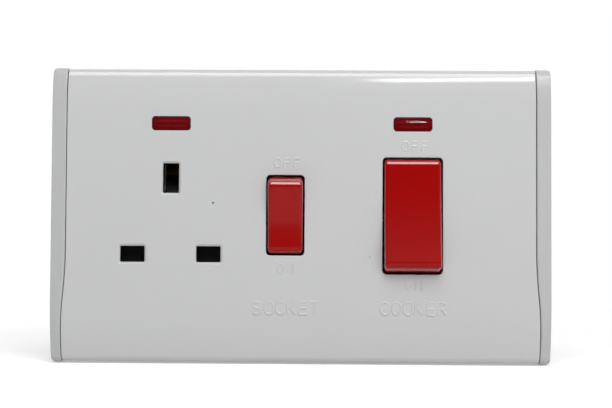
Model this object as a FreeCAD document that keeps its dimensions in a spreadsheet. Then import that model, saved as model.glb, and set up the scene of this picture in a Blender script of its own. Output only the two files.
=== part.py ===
"""Two-gang cooker control unit: a double-pole cooker switch beside a switched, shuttered socket.

Millimetres. X runs to the right, Z up, and the front faces -Y. The wall is the plane Y = 0, and the
origin is the centre of the face that lies on it.
"""
import FreeCAD, Part
import math
import os
import Sketcher
from FreeCAD import Vector

doc = FreeCAD.newDocument("CookerControlUnit")
sheet = doc.addObject("Spreadsheet::Sheet", "Sizes")


class Size:
    """A number together with the spreadsheet expression that gives it."""

    def __init__(self, value, text):
        self.value = float(value)
        self.text = text

    def __add__(self, other):
        other = as_size(other)
        return Size(self.value + other.value, f"({self.text} + {other.text})")

    def __sub__(self, other):
        other = as_size(other)
        return Size(self.value - other.value, f"({self.text} - {other.text})")

    def __mul__(self, other):
        other = as_size(other)
        return Size(self.value * other.value, f"({self.text} * {other.text})")

    def __truediv__(self, other):
        other = as_size(other)
        return Size(self.value / other.value, f"({self.text} / {other.text})")

    def __neg__(self):
        return Size(-self.value, f"(0 - {self.text})")

    def __radd__(self, other):
        return as_size(other) + self

    def __rsub__(self, other):
        return as_size(other) - self

    def __rmul__(self, other):
        return as_size(other) * self


def as_size(number):
    return number if isinstance(number, Size) else Size(number, f"({number})")


def root(size):
    return Size(math.sqrt(size.value), f"sqrt({size.text})")


def sine(degrees):
    return Size(math.sin(math.radians(degrees.value)), f"sin({degrees.text} * 1 deg)")


def cosine(degrees):
    return Size(math.cos(math.radians(degrees.value)), f"cos({degrees.text} * 1 deg)")


def other_leg(hypotenuse, leg):
    """The third side of a right-angled triangle."""
    return root(hypotenuse * hypotenuse - leg * leg)


def size(alias, value):
    """Write one driving dimension to the next row of the spreadsheet."""
    cell = f"B{size.row}"
    sheet.set(f"A{size.row}", alias)
    sheet.set(cell, str(value))
    sheet.setAlias(cell, alias)
    size.row += 1
    return Size(value, f"Sizes.{alias}")


size.row = 1

# Plate: cover and cheeks
plate_width = size("plate_width", 146)
plate_height = size("plate_height", 86)
plate_depth = size("plate_depth", 10)
cover_wall = size("cover_wall", 2)
cover_lift = size("cover_lift", 0.3)
roll_radius = size("roll_radius", 2.5)
top_flat_end = size("top_flat_end", 32)
top_arc_radius = size("top_arc_radius", 36)
bottom_flat_end = size("bottom_flat_end", 25)
bottom_arc_radius = size("bottom_arc_radius", 63)
cheek_width = size("cheek_width", 4.4)
cheek_foot_width = size("cheek_foot_width", 3.1)
cheek_curve_top = size("cheek_curve_top", 10)
cheek_curve_bottom = size("cheek_curve_bottom", 36)
cheek_proud = size("cheek_proud", 0.3)
cheek_slope = size("cheek_slope", 7)
cheek_edge_radius = size("cheek_edge_radius", 0.4)
cheek_corner_radius = size("cheek_corner_radius", 1.2)
parting_gap = size("parting_gap", 0.2)

# Frame and rear housing
frame_thickness = size("frame_thickness", 3)
frame_gap = size("frame_gap", 0.3)
clip_width = size("clip_width", 12)
clip_reach = size("clip_reach", 0.8)
clip_height = size("clip_height", 1.5)
clip_spacing = size("clip_spacing", 84)
fixing_spacing = size("fixing_spacing", 120.6)
fixing_slot_width = size("fixing_slot_width", 3.8)
fixing_slot_length = size("fixing_slot_length", 6)
housing_width = size("housing_width", 111)
housing_height = size("housing_height", 64)
housing_depth = size("housing_depth", 26)
housing_wall = size("housing_wall", 2)
housing_corner = size("housing_corner", 2)
seat_depth = size("seat_depth", 0.5)
seat_gap = size("seat_gap", 0.3)

# Socket
socket_inset = size("socket_inset", 17.5)
pin_row_drop = size("pin_row_drop", 11.5)
pin_spacing = size("pin_spacing", 22.2)
slot_length = size("slot_length", 7)
slot_width = size("slot_width", 4.6)
earth_slot_length = size("earth_slot_length", 8.6)
slot_corner = size("slot_corner", 0.3)
slot_lip = size("slot_lip", 0.6)
collar_wall = size("collar_wall", 1.2)
collar_depth = size("collar_depth", 2.6)
pin_clearance = size("pin_clearance", 0.4)
shutter_gap = size("shutter_gap", 0.3)
shutter_travel = size("shutter_travel", 6)
shutter_blade_height = size("shutter_blade_height", 6)
shutter_arm_width = size("shutter_arm_width", 8)
shutter_overlap = size("shutter_overlap", 1.5)
ramp_depth = size("ramp_depth", 3.4)
shutter_spring_radius = size("shutter_spring_radius", 1.3)
shutter_spring_length = size("shutter_spring_length", 15)

# Rockers
rocker_tilt = size("rocker_tilt", 7)
pivot_depth = size("pivot_depth", 6.6)
rocker_wall = size("rocker_wall", 1.4)
rocker_side_gap = size("rocker_side_gap", 0.5)
rocker_end_gap = size("rocker_end_gap", 0.4)
rocker_skirt = size("rocker_skirt", 1.5)
rocker_end_radius = size("rocker_end_radius", 2)
rocker_side_radius = size("rocker_side_radius", 1.1)
trunnion_radius = size("trunnion_radius", 1)
trunnion_length = size("trunnion_length", 1.6)
bearing_gap = size("bearing_gap", 0.1)
bearing_width = size("bearing_width", 5)
socket_switch_offset = size("socket_switch_offset", 4.5)
socket_aperture_width = size("socket_aperture_width", 11.2)
socket_aperture_height = size("socket_aperture_height", 23.5)
socket_rocker_proud = size("socket_rocker_proud", 2.2)
cooker_inset = size("cooker_inset", 22.9)
cooker_aperture_width = size("cooker_aperture_width", 17.6)
cooker_aperture_height = size("cooker_aperture_height", 34.1)
cooker_rocker_proud = size("cooker_rocker_proud", 2.6)
aperture_corner = size("aperture_corner", 1.2)

# Switch poles
pole_offset = size("pole_offset", 5.2)
barrel_radius = size("barrel_radius", 2)
barrel_bore = size("barrel_bore", 1.3)
barrel_reach = size("barrel_reach", 8)
barrel_floor = size("barrel_floor", 1)
plunger_gap = size("plunger_gap", 0.15)
plunger_tail = size("plunger_tail", 3)
plunger_lift = size("plunger_lift", 0.4)
bar_pivot_y = size("bar_pivot_y", 8.5)
bar_tilt = size("bar_tilt", 6)
bar_length = size("bar_length", 20)
bar_width = size("bar_width", 5)
bar_thickness = size("bar_thickness", 1.2)
bar_set_back = size("bar_set_back", 0.4)
bead_radius = size("bead_radius", 1)
bead_gap = size("bead_gap", 0.3)
rivet_radius = size("rivet_radius", 1.8)
rivet_height = size("rivet_height", 1)
rivet_z = size("rivet_z", 8.2)
contact_gap = size("contact_gap", 0.3)
strap_front_y = size("strap_front_y", 11)
strap_thickness = size("strap_thickness", 1)

# Terminals
terminal_width = size("terminal_width", 9.2)
terminal_height = size("terminal_height", 10)
terminal_inset = size("terminal_inset", 1)
wire_bore_radius = size("wire_bore_radius", 3)
wire_entry_gap = size("wire_entry_gap", 0.5)
terminal_screw_radius = size("terminal_screw_radius", 1.9)
screw_head_radius = size("screw_head_radius", 2.7)
screw_head_height = size("screw_head_height", 1.4)
screw_gap = size("screw_gap", 0.1)
assembly_screw_radius = size("assembly_screw_radius", 1.4)
assembly_inset = size("assembly_inset", 5.2)
boss_radius = size("boss_radius", 3)

# Neons
neon_z = size("neon_z", 26.7)
lens_width = size("lens_width", 11.3)
lens_height = size("lens_height", 4.1)
lens_corner = size("lens_corner", 1)
lens_gap = size("lens_gap", 0.1)
lens_proud = size("lens_proud", 0.4)
lens_flange = size("lens_flange", 0.8)
lamp_radius = size("lamp_radius", 1.9)
lamp_length = size("lamp_length", 9)
lamp_taper = size("lamp_taper", 1.6)
lamp_seal_radius = size("lamp_seal_radius", 0.9)
lead_radius = size("lead_radius", 0.35)
resistor_radius = size("resistor_radius", 1.1)
resistor_length = size("resistor_length", 5)

doc.recompute()

AXIS_TURN = {
    "x": FreeCAD.Rotation(Vector(0, 1, 0), 90),
    "y": FreeCAD.Rotation(Vector(1, 0, 0), -90),
    "z": FreeCAD.Rotation(),
}
AXIS_VECTOR = {"x": Vector(1, 0, 0), "y": Vector(0, 1, 0), "z": Vector(0, 0, 1)}
FLAT_ENOUGH = 1e-6


def bind(thing, path, value):
    thing.setExpression(path, as_size(value).text)


def place(thing, x, y, z):
    for axis, value in zip("xyz", (x, y, z)):
        bind(thing, f"Placement.Base.{axis}", value)
    return thing


def span(centre, width):
    return (centre - width / 2, centre + width / 2)


def block(name, x_range, y_range, z_range):
    item = doc.addObject("Part::Box", name)
    for side, (low, high) in zip(("Length", "Width", "Height"), (x_range, y_range, z_range)):
        bind(item, side, as_size(high) - low)
    return place(item, x_range[0], y_range[0], z_range[0])


def rod(name, axis, start, length, radius):
    item = doc.addObject("Part::Cylinder", name)
    item.Placement = FreeCAD.Placement(Vector(), AXIS_TURN[axis])
    bind(item, "Radius", radius)
    bind(item, "Height", length)
    return place(item, *start)


def fuse(name, *items):
    item = doc.addObject("Part::MultiFuse", name)
    item.Shapes = list(items)
    return item


def group(name, *items):
    item = doc.addObject("Part::Compound", name)
    item.Links = list(items)
    return item


def cut(name, base, *tools):
    item = doc.addObject("Part::Cut", name)
    item.Base = base
    item.Tool = tools[0] if len(tools) == 1 else fuse(name + "Tools", *tools)
    return item


def common(name, first, second):
    item = doc.addObject("Part::Common", name)
    item.Base = first
    item.Tool = second
    return item


def mirrored(name, source):
    item = doc.addObject("Part::Mirroring", name)
    item.Source = source
    item.Normal = AXIS_VECTOR["x"]
    return item


def dressed(kind, name, base, amount, chosen):
    """Round or bevel the edges of a solid that a test picks out."""
    doc.recompute()
    item = doc.addObject(kind, name)
    item.Base = base
    numbered = enumerate(base.Shape.Edges, 1)
    item.Edges = [(number, amount.value, amount.value) for number, edge in numbered if chosen(edge)]
    return item


def rounded(name, base, axis, radius):
    """Round the straight edges of a block that run along one axis."""
    along = AXIS_VECTOR[axis]

    def runs_along(edge):
        return edge.tangentAt(edge.FirstParameter).cross(along).Length < FLAT_ENOUGH

    return dressed("Part::Fillet", name, base, radius, runs_along)


def arc_between(here, there, bend):
    """The shorter arc between two points, and which of its ends comes first."""
    chord = there - here
    rise = math.sqrt(bend * bend - chord.Length ** 2 / 4)
    left = Vector(-chord.y, chord.x, 0) / chord.Length
    centre = (here + there) / 2 + left * math.copysign(rise, bend)
    circle = Part.Circle(centre, Vector(0, 0, 1), abs(bend))
    first, last = (here, there) if bend > 0 else (there, here)
    arc = Part.ArcOfCircle(circle, circle.parameter(first), circle.parameter(last))
    return arc, (1, 2) if bend > 0 else (2, 1)


def draw(body, name, role, corners):
    """Close a fully constrained outline through corners (u, v, bend) on one of the body's planes.

    The bend is the radius of the side that follows the corner: positive where its centre lies to the
    left of the way the outline runs, negative to the right, and None where that side is straight.
    """
    sketch = body.newObject("Sketcher::SketchObject", name)
    plane = [feature for feature in body.Origin.OriginFeatures if feature.Role == role][0]
    sketch.AttachmentSupport = [(plane, "")]
    sketch.MapMode = "FlatFace"
    points = [Vector(u.value, v.value, 0) for u, v, bend in corners]
    ends = []
    for index, (u, v, bend) in enumerate(corners):
        here = points[index]
        there = points[(index + 1) % len(points)]
        side = Part.LineSegment(here, there)
        order = (1, 2)
        if bend is not None:
            side, order = arc_between(here, there, bend.value)
        sketch.addGeometry(side, False)
        ends.append(order)
        if bend is not None:
            radius = bend if bend.value > 0 else -bend
            number = sketch.addConstraint(Sketcher.Constraint("Radius", index, radius.value))
            bind(sketch, f"Constraints[{number}]", radius)
    for index, (u, v, bend) in enumerate(corners):
        before = index - 1 if index else len(corners) - 1
        sketch.addConstraint(
            Sketcher.Constraint("Coincident", before, ends[before][1], index, ends[index][0]))
        for kind, distance in (("DistanceX", u), ("DistanceY", v)):
            pin = Sketcher.Constraint(kind, -1, 1, index, ends[index][0], distance.value)
            bind(sketch, f"Constraints[{sketch.addConstraint(pin)}]", distance)
    return sketch


def prism(name, role, corners, length):
    """A body padded from one outline: along +X from a YZ outline, along -Y from an XZ one."""
    body = doc.addObject("PartDesign::Body", name)
    pad = body.newObject("PartDesign::Pad", name + "Pad")
    pad.Profile = draw(body, name + "Outline", role, corners)
    bind(pad, "Length", length)
    body.Tip = pad
    return body


# Crowned plate: the side profile that the cover, its hollow and the cheeks share

half_width = plate_width / 2
half_height = plate_height / 2
cut_past = cover_wall


def crown(name, growth, rear_y):
    """The plate's side profile, moved outwards by a growth, through its whole width."""
    roll = roll_radius + growth
    front_y = -(plate_depth + growth)
    edge_z = half_height + growth
    ends = {}
    for side, flat_end, arc in (("top", top_flat_end, top_arc_radius),
                                ("bottom", bottom_flat_end, bottom_arc_radius)):
        lean = (half_height - flat_end - roll_radius) / (arc - roll_radius)
        upright = root(1 - lean * lean)
        radius = arc + growth
        fall_y = front_y + radius * (1 - upright)
        ends[side] = (radius, flat_end, fall_y, flat_end + radius * lean, fall_y + roll * upright)
    radius, flat_end, fall_y, fall_z, roll_y = ends["bottom"]
    corners = [
        (as_size(rear_y), -edge_z, None),
        (roll_y, -edge_z, -roll),
        (fall_y, -fall_z, -radius),
        (front_y, -flat_end, None),
    ]
    radius, flat_end, fall_y, fall_z, roll_y = ends["top"]
    corners += [
        (front_y, flat_end, -radius),
        (fall_y, fall_z, -roll),
        (roll_y, edge_z, None),
        (as_size(rear_y), edge_z, None),
    ]
    body = prism(name, "YZ_Plane", corners, plate_width)
    bind(body, "Placement.Base.x", -half_width)
    return body


def parting(inset):
    """Places of the S-shaped parting line on the right, moved towards the middle by an inset."""
    top_x = half_width - cheek_width - inset
    foot_x = half_width - cheek_foot_width - inset
    run = cheek_curve_bottom - cheek_curve_top
    step = foot_x - top_x
    bend = (run * run + step * step) / (4 * step)
    middle = ((top_x + foot_x) / 2, -(cheek_curve_top + cheek_curve_bottom) / 2)
    return top_x, foot_x, middle, bend


def cover_plan(name, inset):
    """The cover's front outline between the parting lines, taller than the plate."""
    top_x, foot_x, (middle_x, middle_z), bend = parting(inset)
    reach = plate_height
    corners = [
        (-foot_x, -reach, None),
        (foot_x, -reach, None),
        (foot_x, -cheek_curve_bottom, bend),
        (middle_x, middle_z, -bend),
        (top_x, -cheek_curve_top, None),
        (top_x, reach, None),
        (-top_x, reach, None),
        (-top_x, -cheek_curve_top, -bend),
        (-middle_x, middle_z, bend),
        (-foot_x, -cheek_curve_bottom, None),
    ]
    return prism(name, "XZ_Plane", corners, plate_depth * 2)


# Front cover: a moulded shell with the socket slots, rocker apertures and neon windows

cover_face_y = -plate_depth
cover_inner_y = cover_face_y + cover_wall
collar_end_y = cover_inner_y + collar_depth
socket_x = socket_inset - housing_width / 2
cooker_switch_x = housing_width / 2 - cooker_inset
socket_switch_x = -socket_switch_offset
pin_row_z = -pin_row_drop
live_x = socket_x + pin_spacing / 2
neutral_x = socket_x - pin_spacing / 2
earth_z = pin_row_z + pin_spacing
frame_front_y = -frame_thickness
frame_edge_z = half_height - cover_wall - frame_gap

# Each slot: its name, centre and size
SLOTS = (
    ("Live", live_x, pin_row_z, slot_length, slot_width),
    ("Neutral", neutral_x, pin_row_z, slot_length, slot_width),
    ("Earth", socket_x, earth_z, slot_width, earth_slot_length),
)
# Each switch: its name, centre and aperture
SWITCHES = (
    ("Socket", socket_switch_x, socket_aperture_width, socket_aperture_height, socket_rocker_proud),
    ("Cooker", cooker_switch_x, cooker_aperture_width, cooker_aperture_height, cooker_rocker_proud),
)
NEONS = (("Socket", socket_x), ("Cooker", cooker_switch_x))
CLIP_PLACES = [(across, up) for across in (-1, 1) for up in (-1, 1)]


def through_cover(name, x, z, width, height, corner):
    """A round-cornered tool through the front wall and any collar behind it."""
    depth = (cover_face_y - cut_past, collar_end_y + cut_past)
    return rounded(name, block(name + "Block", span(x, width), depth, span(z, height)), "y", corner)


def clip(name, across, up, ease):
    """A snap nib on the frame's long edge, or with some ease the recess that it snaps into."""
    root_z = frame_edge_z - clip_height
    tip_z = frame_edge_z + frame_gap + clip_reach + ease
    low_z, high_z = (root_z, tip_z) if up > 0 else (-tip_z, -root_z)
    y_range = (frame_front_y - ease, frame_front_y + clip_height + ease)
    return block(name, span(across * clip_spacing / 2, clip_width + 2 * ease), y_range, (low_z, high_z))


cover_outer = common("CoverOuter", crown("CoverCrown", as_size(0), -cover_lift),
                     cover_plan("CoverPlan", parting_gap / 2))
cover_hollow = common("CoverHollow", crown("HollowCrown", -cover_wall, cut_past),
                      cover_plan("HollowPlan", parting_gap / 2 + cover_wall))
end_relief = block("CoverEndRelief", span(as_size(0), plate_width),
                   (frame_front_y - frame_gap, cut_past),
                   span(as_size(0), plate_height - 2 * cover_wall))
clip_recesses = [clip(f"ClipRecess{index}", across, up, frame_gap)
                 for index, (across, up) in enumerate(CLIP_PLACES)]
cover_shell = cut("CoverShell", cover_outer, cover_hollow, end_relief, *clip_recesses)
collars = [
    rounded(name + "Collar", block(name + "CollarBlock", span(x, width + 2 * collar_wall),
                                   (cover_inner_y - cover_wall / 2, collar_end_y),
                                   span(z, height + 2 * collar_wall)), "y", collar_wall)
    for name, x, z, width, height in SLOTS
]
cover_solid = fuse("CoverSolid", cover_shell, *collars)
cover_tools = [through_cover(name + "Slot", x, z, width, height, slot_corner)
               for name, x, z, width, height in SLOTS]
cover_tools += [through_cover(name + "Aperture", x, as_size(0), width, height, aperture_corner)
                for name, x, width, height, proud in SWITCHES]
cover_tools += [through_cover(name + "Window", x, neon_z, lens_width, lens_height, lens_corner)
                for name, x in NEONS]
pierced_cover = cut("PiercedCover", cover_solid, *cover_tools)


def slot_lip_edge(edge):
    """True for an edge of a pin slot on the front face."""
    low = edge.BoundBox
    if abs(low.YMin - cover_face_y.value) > FLAT_ENOUGH or low.YLength > FLAT_ENOUGH:
        return False
    middle = low.Center
    return any(abs(middle.x - x.value) <= width.value / 2 + FLAT_ENOUGH
               and abs(middle.z - z.value) <= height.value / 2 + FLAT_ENOUGH
               for name, x, z, width, height in SLOTS)


front_cover = dressed("Part::Chamfer", "FrontCover", pierced_cover, slot_lip, slot_lip_edge)


# Mounting frame: a plate with two side cheeks, rocker bearings, shutter guides and lamp cradles

shutter_front_y = collar_end_y + shutter_gap
shutter_rear_y = frame_front_y - shutter_gap
blade_top_z = pin_row_z + shutter_blade_height / 2
blade_bottom_z = pin_row_z - shutter_blade_height / 2
blade_width = pin_spacing + slot_length + 2 * shutter_overlap
arm_top_z = earth_z - earth_slot_length / 2 - shutter_gap + shutter_travel
ramp_foot_z = arm_top_z - shutter_travel
ramp_heel_z = ramp_foot_z - ramp_depth
ramp_width = slot_width - pin_clearance
spring_seat_z = blade_bottom_z - shutter_spring_length
spring_y = frame_front_y - shutter_gap - shutter_spring_radius
rail_width = size("rail_width", 1.3)
seat_block = size("seat_block", 2)
lamp_y = frame_front_y - frame_gap - lamp_radius
lead_x = lamp_length / 2 - resistor_radius
bearing_radius = trunnion_radius + bearing_gap
assembly_screw_x = housing_width / 2 - assembly_inset
assembly_screw_z = housing_height / 2 - assembly_inset


def cheek(name):
    """The right-hand cheek: the plate's profile, falling back from the parting line to the plate's end."""
    top_x, foot_x, (middle_x, middle_z), bend = parting(-parting_gap / 2)
    reach = plate_height
    corners = [
        (half_width, -reach, None),
        (half_width, reach, None),
        (top_x, reach, None),
        (top_x, -cheek_curve_top, bend),
        (middle_x, middle_z, -bend),
        (foot_x, -cheek_curve_bottom, None),
        (foot_x, -reach, None),
    ]
    plan = prism(name + "Plan", "XZ_Plane", corners, plate_depth * 2)
    front_y = -(plate_depth + cheek_proud)
    end_z = half_height + cheek_proud
    across = cosine(cheek_slope)
    back = sine(cheek_slope)
    sloped = crown(name + "Crown", cheek_proud, plate_depth)
    sloped.Placement = FreeCAD.Placement(Vector(), FreeCAD.Rotation(AXIS_VECTOR["z"], 1))
    bind(sloped, "Placement.Rotation.Angle", cheek_slope)
    place(sloped, top_x - across * half_width + back * front_y,
          front_y - back * half_width - across * front_y, 0)
    bar = common(name + "Bar", sloped, plan)

    def rim(edge):
        """True for the edges round the cheek's front, and false for seams and the wall face."""
        box = edge.BoundBox
        on_wall = box.YMin > -FLAT_ENOUGH
        seam = box.ZLength < FLAT_ENOUGH and box.XLength > FLAT_ENOUGH
        return not (on_wall or seam)

    rimmed = dressed("Part::Fillet", name + "Rimmed", bar, cheek_edge_radius, rim)
    corner_x = half_width - cheek_corner_radius
    corner_z = end_z - cheek_corner_radius
    past_z = end_z + cut_past
    past_front_y = front_y - cut_past
    corner_tools = []
    for up, z_range in ((-1, (-past_z, -corner_z)), (1, (corner_z, past_z))):
        square = block(f"{name}Square{up + 1}", (corner_x, half_width + cut_past),
                       (past_front_y, cut_past), z_range)
        quarter = rod(f"{name}Round{up + 1}", "y", (corner_x, past_front_y, up * corner_z),
                      cut_past - past_front_y, cheek_corner_radius)
        corner_tools.append(cut(f"{name}Corner{up + 1}", square, quarter))
    return cut(name, rimmed, *corner_tools)


def bearing(name, x, width, side):
    """A post with an open-fronted cradle for one trunnion of a rocker."""
    near = x + side * width / 2
    far = near + side * trunnion_length
    x_range = (near, far) if side > 0 else (far, near)
    front_y = -(pivot_depth + bearing_radius)
    post = block(name + "Post", x_range, (front_y, frame_front_y + frame_gap),
                 span(as_size(0), bearing_width))
    cradle = rod(name + "Cradle", "x", (x_range[0], -pivot_depth, 0), trunnion_length, bearing_radius)
    mouth = block(name + "Mouth", x_range, (front_y, -pivot_depth), span(as_size(0), 2 * bearing_radius))
    return cut(name, post, cradle, mouth)


through_frame = (frame_front_y - cut_past, cut_past)
right_cheek = cheek("Cheek")
frame_plate = block("FramePlate", span(as_size(0), plate_width - cheek_foot_width),
                    (frame_front_y, 0), span(as_size(0), 2 * frame_edge_z))
frame_holes = [
    block("HousingSeat", span(as_size(0), housing_width + 2 * seat_gap), (-seat_depth, cut_past),
          span(as_size(0), housing_height + 2 * seat_gap)),
]
for name, x, width, height, proud in SWITCHES:
    frame_holes.append(block(name + "RockerHole", span(x, width), through_frame, span(as_size(0), height)))
for name, x, z, width, height in SLOTS[:2]:
    frame_holes.append(block(name + "PinHole", span(x, width + pin_clearance), through_frame,
                             span(z, height + pin_clearance)))
frame_holes.append(block("EarthPinHole", span(socket_x, slot_width + pin_clearance), through_frame,
                         (ramp_heel_z - shutter_travel - shutter_gap,
                          earth_z + earth_slot_length / 2 + pin_clearance)))
for side in (-1, 1):
    slot_ends = span(side * fixing_spacing / 2, fixing_slot_length - fixing_slot_width)
    frame_holes.append(block(f"FixingSlot{side + 1}", slot_ends, through_frame,
                             span(as_size(0), fixing_slot_width)))
    frame_holes += [rod(f"FixingSlotEnd{side + 1}{index}", "y", (x, through_frame[0], 0),
                        frame_thickness + 2 * cut_past, fixing_slot_width / 2)
                    for index, x in enumerate(slot_ends)]
for name, x in NEONS:
    for side in (-1, 1):
        frame_holes.append(rod(f"{name}LeadHole{side + 1}", "y",
                               (x + side * lead_x, through_frame[0], neon_z),
                               frame_thickness + 2 * cut_past, lead_radius + frame_gap))
for across in (-1, 1):
    for up in (-1, 1):
        frame_holes.append(rod(f"AssemblyPilot{across + 1}{up + 1}", "y",
                               (across * assembly_screw_x, frame_front_y + screw_gap,
                                up * assembly_screw_z),
                               frame_thickness, assembly_screw_radius + screw_gap))
pierced_plate = cut("PiercedPlate", frame_plate, *frame_holes)

frame_parts = [pierced_plate, right_cheek, mirrored("LeftCheek", right_cheek)]
frame_parts += [clip(f"Clip{index}", across, up, as_size(0))
                for index, (across, up) in enumerate(CLIP_PLACES)]
for name, x, width, height, proud in SWITCHES:
    for side in (-1, 1):
        frame_parts.append(bearing(f"{name}Bearing{side + 1}", x, width, side))
for side in (-1, 1):
    for name, edge, z_range in (
            ("ArmRail", shutter_arm_width / 2, (blade_top_z + seat_block, ramp_foot_z)),
            ("BladeRail", blade_width / 2, (blade_bottom_z - shutter_travel, blade_top_z))):
        near = socket_x + side * (edge + shutter_gap)
        far = near + side * rail_width
        frame_parts.append(block(f"{name}{side + 1}", (near, far) if side > 0 else (far, near),
                                 (shutter_front_y, frame_front_y), z_range))
frame_parts.append(block("SpringSeat", span(socket_x, 4 * shutter_spring_radius),
                         (spring_y - shutter_spring_radius, frame_front_y),
                         (spring_seat_z - seat_block, spring_seat_z)))
for name, x in NEONS:
    for up in (-1, 1):
        near = neon_z + up * (lamp_radius + frame_gap)
        far = near + up * rail_width
        frame_parts.append(block(f"{name}Cradle{up + 1}", span(x, lamp_length / 2), (lamp_y, frame_front_y),
                                 (near, far) if up > 0 else (far, near)))
mounting_frame = fuse("MountingFrame", *frame_parts)


# Springs: the closed outer form of each coil, as thick as its wire

def spring(name, axis, start, length, radius, wire):
    outer = rod(name + "Outside", axis, start, length, radius)
    return cut(name, outer, rod(name + "Inside", axis, start, length, radius - wire))


# Shutter: a blade over the live and neutral slots, driven down by the earth pin on its ramp

shutter_wire = size("shutter_wire", 0.3)
blade = block("ShutterBlade", span(socket_x, blade_width), (shutter_front_y, shutter_rear_y),
              (blade_bottom_z, blade_top_z))
arm = block("ShutterArm", span(socket_x, shutter_arm_width), (shutter_front_y, shutter_rear_y),
            (blade_bottom_z, ramp_foot_z))
ramp = prism("ShutterRamp", "YZ_Plane", [
    (shutter_front_y, ramp_foot_z, None),
    (shutter_front_y, ramp_heel_z, None),
    (shutter_rear_y, ramp_heel_z, None),
    (shutter_rear_y + ramp_depth, ramp_foot_z, None),
    (shutter_rear_y + ramp_depth, arm_top_z, None),
], ramp_width)
bind(ramp, "Placement.Base.x", socket_x - ramp_width / 2)
socket_shutter = fuse("SocketShutter", blade, arm, ramp)
shutter_spring = spring("ShutterSpring", "z", (socket_x, spring_y, spring_seat_z),
                        shutter_spring_length, shutter_spring_radius, shutter_wire)


# Rockers: hollow caps with a dished face and ends struck about the pivot, built upright about it

def tip(thing, angle, x, y):
    """Set a piece on a pivot line along X, tipped by an angle: positive brings its top forwards."""
    thing.Placement = FreeCAD.Placement(Vector(), FreeCAD.Rotation(AXIS_VECTOR["x"], 1))
    bind(thing, "Placement.Rotation.Angle", angle)
    return place(thing, x, y, 0)


def rocker(name, pole_xs, x, width, height, proud, tilt):
    cap_width = width - 2 * rocker_side_gap
    face_y = -(plate_depth - pivot_depth + proud)
    inner_y = plate_depth - cover_wall - pivot_depth
    end_clear = height / 2 - rocker_end_gap
    end_radius = root(end_clear * end_clear + inner_y * inner_y)
    face_z = other_leg(end_radius, face_y)
    skirt_z = other_leg(end_radius, rocker_skirt)
    dish_radius = face_z / sine(rocker_tilt)
    dish_y = face_y + dish_radius * (1 - cosine(rocker_tilt))
    cap = prism(name + "Cap", "YZ_Plane", [
        (face_y, face_z, -dish_radius),
        (face_y, -face_z, end_radius),
        (rocker_skirt, -skirt_z, None),
        (rocker_skirt, skirt_z, end_radius),
    ], cap_width)
    bind(cap, "Placement.Base.x", -cap_width / 2)

    def face_end(edge):
        """True for the two edges across the face's ends."""
        return edge.BoundBox.YMax < face_y.value + FLAT_ENOUGH

    def face_side(edge):
        """True for the run of edges along a side, over its ends, and false for the skirt's rim."""
        box = edge.BoundBox
        return box.XLength < FLAT_ENOUGH and box.YMin < rocker_skirt.value - FLAT_ENOUGH

    blunt_cap = dressed("Part::Fillet", name + "BluntCap", cap, rocker_end_radius, face_end)
    soft_cap = dressed("Part::Fillet", name + "SoftCap", blunt_cap, rocker_side_radius, face_side)
    hollow = block(name + "Hollow", span(as_size(0), cap_width - 2 * rocker_wall),
                   (dish_y + rocker_wall, rocker_skirt + cut_past),
                   span(as_size(0), 2 * (face_z - rocker_wall)))
    solids = [cut(name + "Shell", soft_cap, hollow)]
    for side in (-1, 1):
        near = side * (cap_width / 2 - rocker_wall)
        far = side * (cap_width / 2 + rocker_side_gap + trunnion_length)
        start = near if side > 0 else far
        solids.append(rod(f"{name}Trunnion{side + 1}", "x", (start, 0, 0),
                          rocker_wall + rocker_side_gap + trunnion_length, trunnion_radius))
    bores = []
    for index, pole_x in enumerate(pole_xs):
        solids.append(rod(f"{name}Barrel{index}", "y", (pole_x, dish_y + rocker_wall / 2, 0),
                          barrel_reach - dish_y - rocker_wall / 2, barrel_radius))
        bores.append(rod(f"{name}Bore{index}", "y", (pole_x, -barrel_floor, 0),
                         barrel_reach + barrel_floor + cut_past, barrel_bore))
    moulding = cut(name, fuse(name + "Solids", *solids), *bores)
    return tip(moulding, tilt, x, -pivot_depth)


socket_rocker = rocker("SocketRocker", [as_size(0)], *SWITCHES[0][1:], rocker_tilt)
cooker_rocker = rocker("CookerRocker", [-pole_offset, pole_offset], *SWITCHES[1][1:], -rocker_tilt)


# Switch poles: a sprung plunger in the rocker's barrel tips a see-saw bar on its fulcrum

bar_face_y = bar_pivot_y - bar_set_back - bar_thickness
plunger_reach = bar_face_y - plunger_lift + pivot_depth
plunger_radius = barrel_bore - plunger_gap
spring_wire = size("spring_wire", 0.25)
nib_height = size("nib_height", 4.6)
strap_rear_y = strap_front_y + strap_thickness
strap_y = (strap_front_y, strap_rear_y)
fulcrum_top_z = nib_height / 2 + strap_thickness
fixed_foot_z = rivet_z - rivet_radius - strap_thickness
fixed_rivet_y = (bar_pivot_y + (rivet_height - bar_set_back) * cosine(bar_tilt)
                 + (rivet_z + rivet_radius) * sine(bar_tilt) + contact_gap)
housing_inner_z = housing_height / 2 - housing_wall
terminal_far_z = housing_inner_z - terminal_inset
terminal_near_z = terminal_far_z - terminal_height
link_height = size("link_height", 4)
live_link_top_z = -(bar_length / 2 + 2 * strap_thickness)
live_link_z = (live_link_top_z - link_height, live_link_top_z)

cooker_live_x = cooker_switch_x - pole_offset
cooker_neutral_x = cooker_switch_x + pole_offset


def plunger(name, switch_x, pole_x, tilt):
    """The plunger along the barrel, round at its nose, tipped with the rocker."""
    shank = rod(name + "Shank", "y", (pole_x, plunger_tail, 0),
                plunger_reach - plunger_radius - plunger_tail, plunger_radius)
    nose = doc.addObject("Part::Sphere", name + "Nose")
    bind(nose, "Radius", plunger_radius)
    place(nose, pole_x, plunger_reach - plunger_radius, 0)
    return tip(fuse(name, shank, nose), tilt, switch_x, -pivot_depth)


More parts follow.
